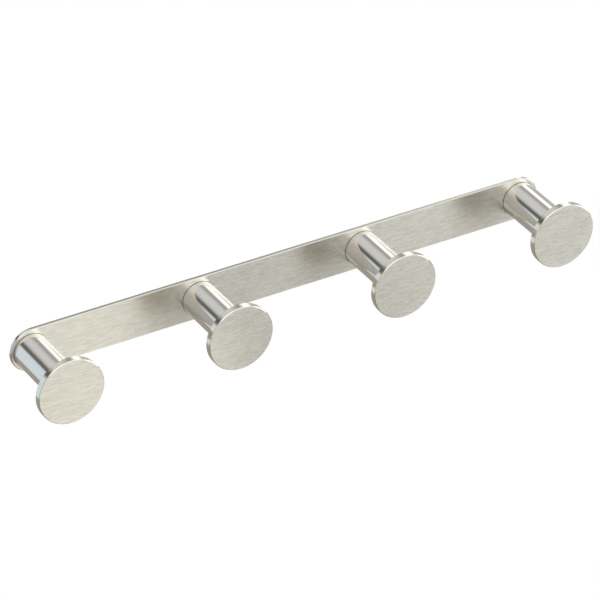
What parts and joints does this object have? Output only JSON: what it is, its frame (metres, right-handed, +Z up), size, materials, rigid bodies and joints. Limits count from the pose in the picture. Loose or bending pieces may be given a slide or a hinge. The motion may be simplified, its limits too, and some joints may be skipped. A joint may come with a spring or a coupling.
{
  "type": "wall hook rack",
  "caption": "Long thin wall strip with rounded ends that carries a row of round metal pegs, each closed by a flat disc that keeps coats from sliding off.",
  "frame": {"origin": "centre of the strip's back face, in the plane of the wall", "axes": "+X along the strip, to the right when the rack is seen from the room; +Y into the wall, so the pegs point to -Y; +Z up"},
  "size_m": [0.338, 0.0475, 0.038],
  "materials": {
    "brushed_strip": "fine grain along the strip, satin",
    "brushed_cap": "fine grain across the face, satin, with a polished rim",
    "polished_tube": "polished along the tube",
    "turned_steel": "as turned",
    "screw_steel": "plain zinc-plated steel"
  },
  "bodies": {
    "root": {"back_strip": "brushed_strip", "base_boss_1": "turned_steel", "boss_screw_1_upper": "screw_steel", "boss_screw_1_lower": "screw_steel", "post_tube_1": "polished_tube", "grub_screw_1": "screw_steel", "front_plug_1": "turned_steel", "cap_stud_1": "screw_steel", "cap_disc_1": "brushed_cap", "base_boss_2": "turned_steel", "boss_screw_2_upper": "screw_steel", "boss_screw_2_lower": "screw_steel", "post_tube_2": "polished_tube", "grub_screw_2": "screw_steel", "front_plug_2": "turned_steel", "cap_stud_2": "screw_steel", "cap_disc_2": "brushed_cap", "base_boss_3": "turned_steel", "boss_screw_3_upper": "screw_steel", "boss_screw_3_lower": "screw_steel", "post_tube_3": "polished_tube", "grub_screw_3": "screw_steel", "front_plug_3": "turned_steel", "cap_stud_3": "screw_steel", "cap_disc_3": "brushed_cap", "base_boss_4": "turned_steel", "boss_screw_4_upper": "screw_steel", "boss_screw_4_lower": "screw_steel", "post_tube_4": "polished_tube", "grub_screw_4": "screw_steel", "front_plug_4": "turned_steel", "cap_stud_4": "screw_steel", "cap_disc_4": "brushed_cap"}
  },
  "joints": []
}
